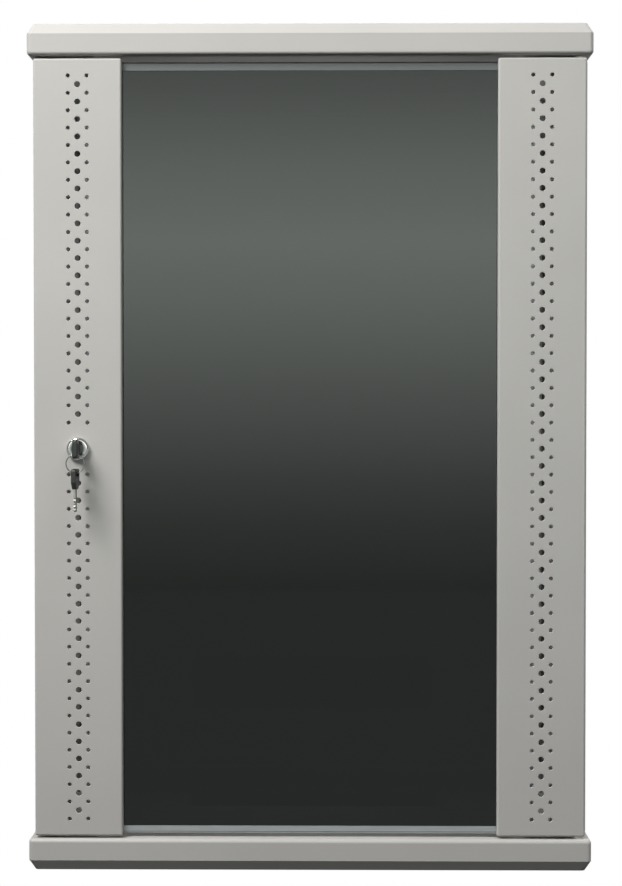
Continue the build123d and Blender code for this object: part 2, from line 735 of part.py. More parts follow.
def door_strip_left():
    """The lock strip: the pattern leaves out the holes round the lock."""
    clear = LOCK_CLEAR_ROWS * HOLE_PITCH
    holes = [hole for hole in strip_holes() if abs(hole[2] - DOOR_MIDDLE) > clear]
    strip = door_strip(-1, holes)
    return strip - rod("y", LOCK_BODY + FIT, (LOCK_X, LOCK_Z), DOOR_FRONT - PAST, DOOR_FRONT + PAST)


def door_glass():
    """Tinted pane with ground edges."""
    low = (-GLASS_HALF, GLASS_FRONT, GLASS_RAIL_LOW[0] + GLASS_RAIL_SHEET)
    high = (GLASS_HALF, GLASS_FRONT + GLASS_THICK, GLASS_RAIL_HIGH[1] - GLASS_RAIL_SHEET)
    return chamfer(block(low, high).edges().filter_by(Axis.Y), GLASS_CORNER)


def glass_rail(low, high, web_low):
    """A U channel round the pane's top or bottom edge."""
    front = GLASS_FRONT - GLASS_RAIL_SHEET
    rear = GLASS_FRONT + GLASS_THICK + GLASS_RAIL_SHEET
    body = block((-GLASS_HALF, front, low), (GLASS_HALF, rear, high))
    corner = body.faces().sort_by(Axis.Z)[0 if web_low else -1].edges().filter_by(Axis.X)
    body = fillet(corner, GLASS_RAIL_SHEET)
    slot = (low + GLASS_RAIL_SHEET, high + PAST) if web_low else (low - PAST, high - GLASS_RAIL_SHEET)
    return body - block(
        (-GLASS_HALF - PAST, GLASS_FRONT, slot[0]),
        (GLASS_HALF + PAST, GLASS_FRONT + GLASS_THICK, slot[1]),
    )


def glass_seal(side):
    """Foam strip between a door strip's flange and the pane."""
    inner = DOOR_WIDTH / 2 - STRIP_WIDTH + SEAL_INSET
    low = (inner, GLASS_FRONT - SEAL_THICK, GLASS_RAIL_LOW[1] + SEAL_INSET)
    high = (GLASS_HALF - SEAL_INSET, GLASS_FRONT, GLASS_RAIL_HIGH[0] - SEAL_INSET)
    seal = block(low, high)
    return seal if side > 0 else mirrored(seal)


def clamp_places():
    """(side, level) for each glass clamp."""
    return [(side, level) for side in (-1, 1) for level in CLAMP_LEVELS]


def glass_clamps():
    """Stepped plates that press the pane's edges forward."""
    flange = DOOR_FRONT + STRIP_STEP
    rear = GLASS_FRONT + GLASS_THICK
    clamps = []
    for side, level in clamp_places():
        low, high = level - CLAMP_SIZE / 2, level + CLAMP_SIZE / 2
        body = block((GLASS_HALF - CLAMP_REACH, rear, low), (CLAMP_OUTER, rear + CLAMP_THICK, high))
        body += block((GLASS_HALF + CLAMP_SIDE_GAP, flange, low), (CLAMP_OUTER, rear, high))
        body = fillet(body.faces().sort_by(Axis.Y)[-1].edges(), CLAMP_ROUNDING)
        body -= rod("y", CLAMP_STUD + FIT, (CLAMP_STUD_X, level), flange - PAST, rear + PAST)
        clamps.append(body if side > 0 else mirrored(body))
    return clamps


def clamp_studs():
    """Studs on the flanges with the nuts that tighten the clamps."""
    flange = DOOR_FRONT + STRIP_STEP
    nut_low = GLASS_FRONT + GLASS_THICK + CLAMP_THICK
    nut_high = nut_low + CLAMP_NUT_THICK
    pieces = []
    for side, level in clamp_places():
        place = (side * CLAMP_STUD_X, level)
        pieces.append(rod("y", CLAMP_STUD, place, flange, nut_high + CLAMP_STUD_END))
        pieces.append(hexagon("y", CLAMP_NUT, CLAMP_STUD + FIT / 2, place, nut_low, nut_high))
    return pieces


def hinge_bracket(upper):
    """A plate with two ears inside the hinge strip's end; the pin runs through both ears."""
    end = DOOR_TOP - SHEET if upper else DOOR_BOTTOM + SHEET
    far = end - HINGE_SPREAD if upper else end + HINGE_SPREAD
    low, high = min(end, far), max(end, far)
    wall = DOOR_FRONT + SHEET
    inner = HINGE_X - HINGE_PLATE_SIDE
    outer = DOOR_WIDTH / 2 - BEND - HINGE_EDGE_GAP
    body = block((inner, wall, low), (outer, wall + EAR_REACH, high))
    body = fillet(body.faces().sort_by(Axis.Y)[0].edges().filter_by(Axis.X), HINGE_PLATE)
    body -= block(
        (inner - PAST, wall + HINGE_PLATE, low + HINGE_PLATE),
        (outer + PAST, wall + EAR_REACH + PAST, high - HINGE_PLATE),
    )
    return body - rod("z", PIN_RADIUS + PIN_CLEARANCE, (HINGE_X, HINGE_Y), low - PAST, high + PAST)


def hinge_pin_lower():
    """Fixed pin, held by its head under the bottom cover's flange."""
    place = (HINGE_X, HINGE_Y)
    under = FLOOR_TOP - COVER_SHEET
    body = rod("z", PIN_RADIUS, place, under, DOOR_BOTTOM + LOWER_PIN_REACH)
    body = chamfer(body.faces().sort_by(Axis.Z)[-1].edges(), PIN_TIP)
    return body + rod("z", SCREW_HEAD, place, under - PIN_HEAD_THICK, under)


def hinge_washer(low):
    """White nylon washer between the door's end and the cover's flange."""
    place = (HINGE_X, HINGE_Y)
    body = rod("z", WASHER_RADIUS, place, low, low + DOOR_GAP - WASHER_GAP)
    body = fillet(body.edges(), WASHER_ROUNDING)
    return body - rod("z", PIN_RADIUS + 2 * PIN_CLEARANCE, place, low - PAST, low + DOOR_GAP + PAST)


def hinge_pin_upper():
    """Sprung pin with a collar and a cross handle that a finger pulls down to free the door."""
    place = (HINGE_X, HINGE_Y)
    handle_z = SPRING_FIXED - HINGE_PLATE - HANDLE_DROP
    body = rod("z", PIN_RADIUS, place, handle_z - PIN_RADIUS, ROOF_UNDER + PIN_RISE)
    body = chamfer(body.faces().sort_by(Axis.Z)[-1].edges(), PIN_TIP)
    body += rod("z", COLLAR_RADIUS, place, COLLAR_LOW, COLLAR_LOW + COLLAR_THICK)
    body += rod("x", HANDLE_RADIUS, (HINGE_Y, handle_z), HINGE_X - HANDLE_REACH, HINGE_X)
    end = HINGE_X - HANDLE_REACH
    knob = rod("x", HANDLE_KNOB, (HINGE_Y, handle_z), end - HANDLE_KNOB, end + HANDLE_KNOB)
    return body + fillet(knob.edges(), HANDLE_KNOB_ROUNDING)


def hinge_spring():
    """Compression spring between the lower ear and the pin's collar."""
    length = SPRING_LENGTH - 2 * SPRING_WIRE - 2 * FIT
    path = Helix(pitch=length / SPRING_TURNS, height=length, radius=SPRING_RADIUS)
    section = Plane(path @ 0, z_dir=path % 0) * Circle(SPRING_WIRE)
    coil = sweep(section, path=path, is_frenet=True)
    return Pos(HINGE_X, HINGE_Y, SPRING_FIXED + SPRING_WIRE + FIT) * coil


def door_bumpers():
    """Rubber pads on the left front post that the door closes against."""
    x = -DOOR_WIDTH / 2 + BUMPER_INSET
    face = DOOR_BACK + BUMPER_GAP
    pads = [rod("y", BUMPER_RADIUS, (x, level), face, POST_FRONT) for level in BUMPER_LEVELS]
    return [fillet(pad.faces().sort_by(Axis.Y)[0].edges(), BUMPER_ROUNDING) for pad in pads]


def lock_body():
    """Chrome bezel and threaded barrel, flattened on two sides behind the bezel."""
    place = (LOCK_X, LOCK_Z)
    bezel = rod("y", LOCK_BEZEL, place, BEZEL_FRONT, DOOR_FRONT)
    bezel = fillet(bezel.faces().sort_by(Axis.Y)[0].edges(), BEZEL_ROUNDING)
    barrel = rod("y", LOCK_BODY, place, DOOR_FRONT, LOCK_REAR)
    return bezel + barrel - rod("y", PLUG_RADIUS + FIT / 2, place, BEZEL_FRONT - PAST, LOCK_REAR + PAST)


def lock_nut():
    """Hexagonal nut behind the strip."""
    low = DOOR_FRONT + SHEET
    return hexagon("y", LOCK_NUT, LOCK_BODY + FIT / 2, (LOCK_X, LOCK_Z), low, low + NUT_THICK)


def keyway(extra):
    """The slot that takes the key's blade, or the blade's own outline when extra is zero."""
    face = BEZEL_FRONT
    half = KEY_THICK / 2 + extra
    tall = KEY_WIDTH / 2 + extra
    return block(
        (LOCK_X - half, face - BOW_GAP, LOCK_Z - tall),
        (LOCK_X + half, face + KEY_LENGTH + 5 * extra, LOCK_Z + tall),
    )


def lock_plug():
    """The turning core: keyway in front, square tail behind."""
    place = (LOCK_X, LOCK_Z)
    body = rod("y", PLUG_RADIUS, place, BEZEL_FRONT + PLUG_INSET, LOCK_REAR)
    body -= keyway(FIT)
    half = PLUG_TAIL / 2
    tail_end = CAM_FRONT + CAM_THICK
    body += block((LOCK_X - half, LOCK_REAR, LOCK_Z - half), (LOCK_X + half, tail_end, LOCK_Z + half))
    return body - rod("y", SMALL_SCREW, place, CAM_FRONT - PLUG_BORE, CAM_FRONT + PAST)


def lock_cam():
    """The tongue that turns left behind the post's flange; it points up when the lock is open."""
    length = CAM_REACH + CAM_WIDTH / 2
    shift = (CAM_REACH - CAM_WIDTH / 2) / 2
    outline = Pos(0, shift) * Rot(0, 0, 90) * SlotOverall(length, CAM_WIDTH)
    hole = Rectangle(PLUG_TAIL + FIT, PLUG_TAIL + FIT)
    flat = extrude(Plane.XZ * (outline - hole), amount=CAM_THICK)
    return Pos(LOCK_X, CAM_FRONT + CAM_THICK, LOCK_Z) * flat


def cam_screw():
    """Screw that holds the cam on the plug's tail."""
    face = CAM_FRONT + CAM_THICK
    sizes = (SMALL_SCREW - FIT / 2, CAM_SCREW_HEAD, CAM_SCREW_THICK)
    return screw("y", (LOCK_X, LOCK_Z), face, 1, CAM_SCREW_SHANK, *sizes)


def key_blade():
    """Flat steel blade with cuts in its lower edge, drawn in the lock."""
    body = keyway(0.0)
    body += block(
        (LOCK_X - KEY_THICK / 2, BEZEL_FRONT - KEY_ROOT, LOCK_Z - KEY_ROOT_WIDTH / 2),
        (LOCK_X + KEY_THICK / 2, BEZEL_FRONT - BOW_GAP, LOCK_Z + KEY_ROOT_WIDTH / 2),
    )
    tip = BEZEL_FRONT + KEY_LENGTH
    body = chamfer(body.faces().sort_by(Axis.Y)[-1].edges().filter_by(Axis.X), KEY_TIP)
    for cut, depth in enumerate(KEY_CUTS):
        y = tip - KEY_FIRST_CUT - cut * KEY_CUT_PITCH
        corners = ((y - KEY_CUT_HALF, 0), (y + KEY_CUT_HALF, 0), (y, depth))
        notch = extrude(Plane.YZ * Polygon(*corners, align=None), amount=2 * PAST)
        body -= Pos(LOCK_X - PAST, 0, LOCK_Z - KEY_WIDTH / 2) * notch
    return body


def bow_outline():
    """The bow's side view about the middle of its blade end, opening towards negative x."""
    line = FilletPolyline(
        (0.0, -BOW_NECK / 2),
        (-BOW_SHOULDER, -BOW_WIDTH / 2),
        (-BOW_LENGTH, -BOW_WIDTH / 2),
        (-BOW_LENGTH, BOW_WIDTH / 2),
        (-BOW_SHOULDER, BOW_WIDTH / 2),
        (0.0, BOW_NECK / 2),
        radius=BOW_CORNER,
        close=True,
    )
    hole = SlotOverall(BOW_HOLE_LONG, BOW_HOLE_SHORT)
    hole_x = -BOW_LENGTH + BOW_RIM + BOW_HOLE_SHORT / 2
    return make_face(line) - Pos(hole_x, 0) * Rot(0, 0, 90) * hole


def key_bow():
    """Moulded black grip on the key's blade."""
    flat = extrude(Plane.YZ * bow_outline(), amount=BOW_THICK)
    body = Pos(LOCK_X - BOW_THICK / 2, BEZEL_FRONT - BOW_GAP, LOCK_Z) * flat
    body = fillet(body.faces().filter_by(Axis.X).edges(), BOW_EDGE)
    return body - key_blade()


def ring_centre():
    """The ring hangs in the bow's hole: (y of its plane, z of its wire in the hole, z of its centre)."""
    y = BEZEL_FRONT - BOW_GAP - BOW_LENGTH + BOW_RIM + BOW_HOLE_SHORT / 2
    wire_z = LOCK_Z - BOW_HOLE_LONG / 2 + RING_WIRE + RING_DROP + RING_SLACK
    return y, wire_z, wire_z - RING_RADIUS


def key_ring():
    """Plain wire ring."""
    y, _, centre = ring_centre()
    return Pos(LOCK_X, y, centre) * Rot(90, 0, 0) * Torus(RING_RADIUS, RING_WIRE)


def hang_spare(piece):
    """Move a piece of the key from the lock to hang from the ring, turned a little to the side."""
    y, wire_z, _ = ring_centre()
    bow_end = BEZEL_FRONT - BOW_GAP
    hole_y = -BOW_LENGTH + BOW_RIM + BOW_HOLE_SHORT / 2
    local = Pos(-LOCK_X, -bow_end - hole_y, -LOCK_Z) * piece
    drop = BOW_HOLE_SHORT / 2 - RING_WIRE - RING_DROP - RING_SLACK
    low_wire = wire_z - 2 * RING_RADIUS
    return Pos(LOCK_X, y, low_wire - drop) * Rot(0, 0, SPARE_TURN) * Rot(-90, 0, 0) * local


os.makedirs("parts", exist_ok=True)
bolt_holes = rail_bolt_holes()
bolt_holes += [mirrored(hole) for hole in bolt_holes]

save("top_cover", top_cover())
save("bottom_cover", bottom_cover())
save("roof_entry_plate", entry_plate())
save("roof_entry_screws", *entry_plate_screws())
entry_trim = edge_trim(ENTRY_WIDTH, ENTRY_DEPTH)
save("floor_entry_trim", Pos(0, ENTRY_Y, 0) * entry_trim)
save("rear_entry_trim", Pos(0, BACK, REAR_ENTRY_Z) * Rot(90, 0, 0) * entry_trim)

for side, word in ((-1, "left"), (1, "right")):
    save(f"front_post_{word}", post(True, side) - cam_window())
    save(f"rear_post_{word}", post(False, side) - rear_screw_holes())
    save(f"upper_side_rail_{word}", side_rail(True, side))
    save(f"lower_side_rail_{word}", side_rail(False, side))
    save(f"equipment_rail_front_{word}", equipment_rail(RAIL_FRONT_Y, 1, side) - bolt_holes)
    save(f"equipment_rail_rear_{word}", equipment_rail(RAIL_REAR_Y, -1, side) - bolt_holes)
    save(f"side_panel_{word}", side_panel(side))
    save(f"latch_body_{word}", latch_body(side))
    save(f"latch_nut_{word}", latch_nut(side))
    save(f"latch_rotor_{word}", latch_rotor(side))
    save(f"latch_cam_{word}", latch_cam(side))

save("rail_brackets", *[bracket - bolt_holes for bracket in rail_brackets()])
save("rail_bolts", *rail_bolts())
save("frame_screws", *frame_screws())
save("rear_panel", rear_panel())
save("rear_panel_screws", *rear_screws())
save("earth_studs", *earth_studs())
save("earth_nuts", *earth_nuts())
save("door_bumpers", *door_bumpers())

save("door_strip_left", door_strip_left())
save("door_strip_right", door_strip_right())
save("door_glass", door_glass())
save("glass_rail_top", glass_rail(*GLASS_RAIL_HIGH, False))
save("glass_rail_bottom", glass_rail(*GLASS_RAIL_LOW, True))
save("glass_seals", glass_seal(-1), glass_seal(1))
save("glass_clamps", *glass_clamps())
save("clamp_studs", *clamp_studs())
save("hinge_brackets", hinge_bracket(True), hinge_bracket(False))
save("hinge_pin_lower", hinge_pin_lower())
save("hinge_washer_lower", hinge_washer(FLOOR_TOP))
save("hinge_washer_upper", hinge_washer(DOOR_TOP))
save("hinge_pin_upper", hinge_pin_upper())
save("hinge_spring", hinge_spring())

save("lock_body", lock_body())
save("lock_nut", lock_nut())
save("lock_plug", lock_plug())
save("lock_cam", lock_cam())
save("cam_screw", cam_screw())
save("key_blade", key_blade())
save("key_bow", key_bow())
save("key_ring", key_ring())
save("spare_key_blade", hang_spare(key_blade()))
save("spare_key_bow", hang_spare(key_bow()))
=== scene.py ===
import bmesh
import bpy
import json
import math
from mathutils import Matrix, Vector
from mathutils.geometry import delaunay_2d_cdt


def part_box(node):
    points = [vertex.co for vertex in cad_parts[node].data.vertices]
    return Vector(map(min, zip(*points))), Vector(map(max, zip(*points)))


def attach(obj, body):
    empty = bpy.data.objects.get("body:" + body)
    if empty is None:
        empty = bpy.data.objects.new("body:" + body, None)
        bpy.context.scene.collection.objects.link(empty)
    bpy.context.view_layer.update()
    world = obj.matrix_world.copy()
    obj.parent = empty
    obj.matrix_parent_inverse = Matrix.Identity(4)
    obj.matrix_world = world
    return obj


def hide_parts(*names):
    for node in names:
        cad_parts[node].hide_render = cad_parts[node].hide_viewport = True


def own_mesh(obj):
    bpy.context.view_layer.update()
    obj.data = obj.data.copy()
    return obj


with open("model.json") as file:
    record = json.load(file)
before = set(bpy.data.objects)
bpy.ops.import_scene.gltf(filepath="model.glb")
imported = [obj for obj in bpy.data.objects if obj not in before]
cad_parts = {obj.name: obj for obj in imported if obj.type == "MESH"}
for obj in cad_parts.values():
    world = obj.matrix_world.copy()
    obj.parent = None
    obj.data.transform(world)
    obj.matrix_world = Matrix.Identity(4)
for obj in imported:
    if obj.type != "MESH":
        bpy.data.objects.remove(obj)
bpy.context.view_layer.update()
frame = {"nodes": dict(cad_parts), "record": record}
nodes = frame["nodes"]
body_of = {node: body for body, names in frame["record"]["behaviour"]["bodies"].items() for node in names}
slot_of = {part["node"]: part["material_slot"] for part in frame["record"]["subparts"]}

# The camera's place from the middle of the door's front: metres, then degrees, then millimetres for the lens
CAMERA_DISTANCE = 2.0
CAMERA_RIGHT = 0.023
CAMERA_ABOVE = 0.048
CAMERA_DOWN = 1.2
CAMERA_LEFT = 0.62
CAMERA_LENS = 76.5
CAMERA_SENSOR = 36.0

# Studio: the cards that only show in reflections; the levels are (height, brightness) up the front card
CARD_Y = -3.22
CARD_HEIGHT = 2.0
CARD_HALF_WIDTH = 2.2
CARD_PEAK = 3.2
CARD_TINT = (0.91, 1.0, 0.935)
SIDE_CARD_X = 3.2
SIDE_CARD_HALF_DEPTH = 1.0
SIDE_CARD_LEVEL = 0.6
CARD_LEVELS = (
    (0.0, 0.14),
    (0.17, 0.21),
    (0.29, 0.295),
    (0.41, 0.42),
    (0.53, 0.55),
    (0.65, 0.70),
    (0.77, 0.85),
    (0.93, 1.0),
    (1.125, 0.835),
    (1.365, 0.52),
    (1.60, 0.36),
)

# Floor and background
WHITE = (1.0, 1.0, 1.0)
FLOOR_HALF = 12.0
FLOOR_DROP = 0.0005
FLOOR_SHEEN = (0.455, 0.49, 0.49)
FLOOR_DULL = (0.006, 0.006, 0.006)
WORLD_TINT = (1.0, 0.99, 0.98)
WORLD_FROM = (0.1, 0.9)
WORLD_TO = (0.02, 0.40)

# Lamps: name, place, aim, size, watts, colour, then whether it shows in reflections and through glass.
# The last two stand inside the cabinet and lighten what is seen through the strips' holes.
LAMP_SIZE = (1.6, 1.2)
LAMP_AIM = (0, 0, 0.45)
LAMPS = (
    ("key", (-1.3, -1.65, 2.45), (0, 0, 0.5), (1.2, 1.0), 72.0, (1.0, 0.99, 0.97), True, True),
    ("front_fill", (0.9, -1.7, 2.9), LAMP_AIM, LAMP_SIZE, 14.0, WHITE, False, True),
    ("back_fill", (1.1, 2.4, 2.0), LAMP_AIM, LAMP_SIZE, 26.0, WHITE, False, True),
    ("side_fill", (2.3, 0.5, 1.5), LAMP_AIM, LAMP_SIZE, 20.0, WHITE, False, True),
    ("inside_fill", (0, 0.19, 0.45), (0, -1.0, 0.45), (0.3, 0.7), 0.85, WHITE, False, False),
    ("side_slot_fill", (0.272, -0.12, 0.45), (0.285, 0.22, 0.45), (0.02, 0.7), 0.17, WHITE, False, False),
)

# Sheet-metal sizes that the door strips repeat
SHEET = 0.0015
BEND = 0.0025
ROWS = 44
SMALL_RADIUS = 0.0021
LARGE_RADIUS = 0.0031
SMALL_OFFSET = 0.010
RIM = 0.0005
RIM_BULGE = 0.3
HOLE_SIDES = 24
LOCK_HOLE_RADIUS = 0.0091
LOCK_CLEAR_ROWS = 1.2

# Mesh tolerances: on the flat sheet, between points of its outline, and between vertices to weld
ON_SHEET = 2e-5
SAME_POINT = 1e-7
WELD = 2e-6

# Folds sharper than this many degrees stay sharp; how strongly flat sheet holds its shading
FOLD_ANGLE = 32.0
FLAT_WEIGHT = 100

# The Mix node's colour sockets
MIX_A, MIX_B, MIX_RESULT = 6, 7, 2

# Half the width of the painted shade line for a groove on a glass channel, where solid and where faded, in
# shares of its height, and the painted shade's colour
LINE_SOLID = 0.03
LINE_FADED = 0.05
GROOVE_SHADE_COLOUR = (0.12, 0.12, 0.12)


# ---------------------------------------------------------------- node helpers

def new_material(name):
    """An empty node material with its Principled shader: (material, tree, shader)."""
    material = bpy.data.materials.new(name)
    material.use_nodes = True
    tree = material.node_tree
    shader = tree.nodes["Principled BSDF"]
    return material, tree, shader


def add(tree, kind, **settings):
    """A node with some of its properties and inputs set by name."""
    node = tree.nodes.new(kind)
    for key, value in settings.items():
        if hasattr(node, key):
            setattr(node, key, value)
        else:
            node.inputs[key.replace("_", " ")].default_value = value
    return node


def noise(tree, scale, detail=2.0, stretch=(1.0, 1.0, 1.0)):
    """Noise in the object's own metres; scale is in features per metre."""
    place = tree.nodes.new("ShaderNodeTexCoord")
    mapping = tree.nodes.new("ShaderNodeMapping")
    mapping.inputs["Scale"].default_value = stretch
    tree.links.new(place.outputs["Object"], mapping.inputs["Vector"])
    texture = add(tree, "ShaderNodeTexNoise", Scale=scale, Detail=detail)
    tree.links.new(mapping.outputs["Vector"], texture.inputs["Vector"])
    return texture.outputs["Fac"]


def ramp(tree, factor, stops):
    """A colour ramp; stops are (position, colour)."""
    node = tree.nodes.new("ShaderNodeValToRGB")
    tree.links.new(factor, node.inputs["Fac"])
    for index, (position, colour) in enumerate(stops):
        element = node.color_ramp.elements[index] if index < 2 else node.color_ramp.elements.new(position)
        element.position = position
        element.color = (*colour, 1.0)
    return node.outputs["Color"]


def multiplied(tree, colour, other):
    """One colour multiplied by another."""
    mix = add(tree, "ShaderNodeMix", data_type="RGBA", blend_type="MULTIPLY")
    mix.inputs["Factor"].default_value = 1.0
    tree.links.new(colour, mix.inputs[MIX_A])
    tree.links.new(other, mix.inputs[MIX_B])
    return mix.outputs[MIX_RESULT]


def span(tree, factor, low, high):
    """A value that runs from low to high as the factor runs over the middle of its range."""
    node = add(tree, "ShaderNodeMapRange")
    node.inputs["From Min"].default_value = 0.3
    node.inputs["From Max"].default_value = 0.7
    node.inputs["To Min"].default_value = low
    node.inputs["To Max"].default_value = high
    tree.links.new(factor, node.inputs["Value"])
    return node.outputs["Result"]


def bump(tree, shader, layers):
    """Bump from several (height, strength, distance) layers, one on another."""
    last = None
    for height, strength, distance in layers:
        node = add(tree, "ShaderNodeBump", Strength=strength, Distance=distance)
        tree.links.new(height, node.inputs["Height"])
        if last:
            tree.links.new(last, node.inputs["Normal"])
        last = node.outputs["Normal"]
    tree.links.new(last, shader.inputs["Normal"])


# ---------------------------------------------------------------- materials

def powder_coat():
    """Light grey powder coat: fine texture, faint dust and a satin shine."""
    material, tree, shader = new_material("powder_coat")
    broad = noise(tree, 6.0, 3.0)
    colour = ramp(tree, broad, [(0.35, (0.600, 0.590, 0.568)), (0.65, (0.628, 0.617, 0.594))])
    tree.links.new(colour, shader.inputs["Base Color"])
    tree.links.new(span(tree, noise(tree, 45.0, 4.0), 0.40, 0.50), shader.inputs["Roughness"])
    grain = noise(tree, 1500.0, 2.0)
    peel = noise(tree, 380.0, 1.0)
    bump(tree, shader, [(grain, 0.10, 0.0001), (peel, 0.10, 0.0002)])
    return material


def zinc(name, base, rough):
    """Zinc-plated steel with a faint spangle and rolling lines."""
    material, tree, shader = new_material(name)
    cells = add(tree, "ShaderNodeTexVoronoi", Scale=90.0)
    place = tree.nodes.new("ShaderNodeTexCoord")
    tree.links.new(place.outputs["Object"], cells.inputs["Vector"])
    lighter = tuple(min(1.0, value * 1.12) for value in base)
    colour = ramp(tree, cells.outputs["Distance"], [(0.1, base), (0.8, lighter)])
    tree.links.new(colour, shader.inputs["Base Color"])
    shader.inputs["Metallic"].default_value = 1.0
    tree.links.new(span(tree, noise(tree, 120.0, 4.0), rough, rough + 0.12), shader.inputs["Roughness"])
    bump(tree, shader, [(noise(tree, 900.0, 2.0, (1.0, 1.0, 0.1)), 0.08, 0.0001)])
    return material


def brushed(name, base, rough, stretch, scale=2200.0):
    """Metal with fine lines along one direction."""
    material, tree, shader = new_material(name)
    lines = noise(tree, scale, 2.0, stretch)
    darker = tuple(value * 0.86 for value in base)
    tree.links.new(ramp(tree, lines, [(0.3, darker), (0.7, base)]), shader.inputs["Base Color"])
    shader.inputs["Metallic"].default_value = 1.0
    tree.links.new(span(tree, lines, rough, rough + 0.12), shader.inputs["Roughness"])
    bump(tree, shader, [(lines, 0.06, 0.0001)])
    return material


def chrome_painted_dark_middle():
    """Polished chrome with faint smears and hairline scratches, painted dark round the plug as a painted
    dark reflection.
    """
    material, tree, shader = new_material("chrome_painted_dark_middle")
    smear = noise(tree, 160.0, 4.0)
    colour = ramp(tree, smear, [(0.3, (0.52, 0.515, 0.51)), (0.7, (0.62, 0.61, 0.605))])
    low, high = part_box("lock_body")
    place = tree.nodes.new("ShaderNodeTexCoord")
    from_axis = add(tree, "ShaderNodeVectorMath", operation="SUBTRACT")
    from_axis.inputs[1].default_value = (low + high) / 2
    tree.links.new(place.outputs["Object"], from_axis.inputs[0])
    across = add(tree, "ShaderNodeVectorMath", operation="MULTIPLY")
    across.inputs[1].default_value = (1.0, 0.0, 1.0)
    tree.links.new(from_axis.outputs["Vector"], across.inputs[0])
    radius = add(tree, "ShaderNodeVectorMath", operation="LENGTH")
    tree.links.new(across.outputs["Vector"], radius.inputs[0])
    share = add(tree, "ShaderNodeMapRange")
    share.inputs["From Max"].default_value = (high.x - low.x) / 2
    tree.links.new(radius.outputs["Value"], share.inputs["Value"])
    # painted dark reflection: the base colour goes dark towards the lock's axis
    darker = ramp(tree, share.outputs["Result"], [(0.50, (0.10, 0.09, 0.09)), (0.85, WHITE)])
    tree.links.new(multiplied(tree, colour, darker), shader.inputs["Base Color"])
    shader.inputs["Metallic"].default_value = 1.0
    tree.links.new(span(tree, smear, 0.06, 0.14), shader.inputs["Roughness"])
    bump(tree, shader, [(noise(tree, 700.0, 2.0, (1.0, 1.0, 0.05)), 0.03, 0.00005)])
    return material


def yellow_zinc():
    """Passivated steel with its uneven straw and pink tint."""
    material, tree, shader = new_material("yellow_zinc")
    tint = noise(tree, 140.0, 3.0)
    stops = [(0.3, (0.62, 0.50, 0.26)), (0.5, (0.70, 0.62, 0.40)), (0.7, (0.60, 0.48, 0.42))]
    tree.links.new(ramp(tree, tint, stops), shader.inputs["Base Color"])
    shader.inputs["Metallic"].default_value = 1.0
    tree.links.new(span(tree, noise(tree, 400.0), 0.28, 0.40), shader.inputs["Roughness"])
    return material


def moulded(name, dark, light, rough, grain=1400.0, depth=0.12):
    """Moulded plastic or rubber with a fine spark-eroded grain."""
    material, tree, shader = new_material(name)
    colour = ramp(tree, noise(tree, 60.0, 3.0), [(0.35, dark), (0.65, light)])
    tree.links.new(colour, shader.inputs["Base Color"])
    tree.links.new(span(tree, noise(tree, 300.0, 3.0), rough, rough + 0.10), shader.inputs["Roughness"])
    bump(tree, shader, [(noise(tree, grain, 2.0), depth, 0.0001)])
    return material


def satin_rail(name, node, level, line):
    """Grey anodised channel with fine drawing lines; level scales its grey as painted light and shade, and a
    painted shade line for a groove runs at a share of its height.
    """
    material, tree, shader = new_material(name)
    lines = noise(tree, 1800.0, 2.0, (0.03, 1.0, 1.0))
    # level paints light and shade into the grey: low for the shaded upper rail, high for the lit lower rail
    dull = tuple(level * tint for tint in (0.84, 0.89, 0.91))
    bright = tuple(level * tint for tint in (1.0, 1.06, 1.08))
    drawn = ramp(tree, lines, [(0.3, dull), (0.7, bright)])
    low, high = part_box(node)
    place = tree.nodes.new("ShaderNodeTexCoord")
    split = tree.nodes.new("ShaderNodeSeparateXYZ")
    tree.links.new(place.outputs["Object"], split.inputs["Vector"])
    share = add(tree, "ShaderNodeMapRange")
    share.inputs["From Min"].default_value = low.z
    share.inputs["From Max"].default_value = high.z
    tree.links.new(split.outputs["Z"], share.inputs["Value"])
    # painted shade: a dark band at the given share of the channel's height stands for the shade in a groove
    stops = [
        (line - LINE_FADED, WHITE),
        (line - LINE_SOLID, GROOVE_SHADE_COLOUR),
        (line + LINE_SOLID, GROOVE_SHADE_COLOUR),
        (line + LINE_FADED, WHITE),
    ]
    painted = ramp(tree, share.outputs["Result"], stops)
    tree.links.new(multiplied(tree, drawn, painted), shader.inputs["Base Color"])
    shader.inputs["Metallic"].default_value = 0.35
    tree.links.new(span(tree, lines, 0.42, 0.52), shader.inputs["Roughness"])
    bump(tree, shader, [(lines, 0.05, 0.0001)])
    return material


def tinted_glass():
    """Smoke-tinted toughened glass with a trace of dust."""
    material, tree, shader = new_material("tinted_glass")
    shader.inputs["IOR"].default_value = 1.52
    shader.inputs["Transmission Weight"].default_value = 1.0
    dust = noise(tree, 25.0, 5.0)
    colour = ramp(tree, dust, [(0.3, (0.012, 0.0145, 0.0135)), (0.7, (0.014, 0.0165, 0.0155))])
    tree.links.new(colour, shader.inputs["Base Color"])
    tree.links.new(span(tree, dust, 0.015, 0.03), shader.inputs["Roughness"])
    return material


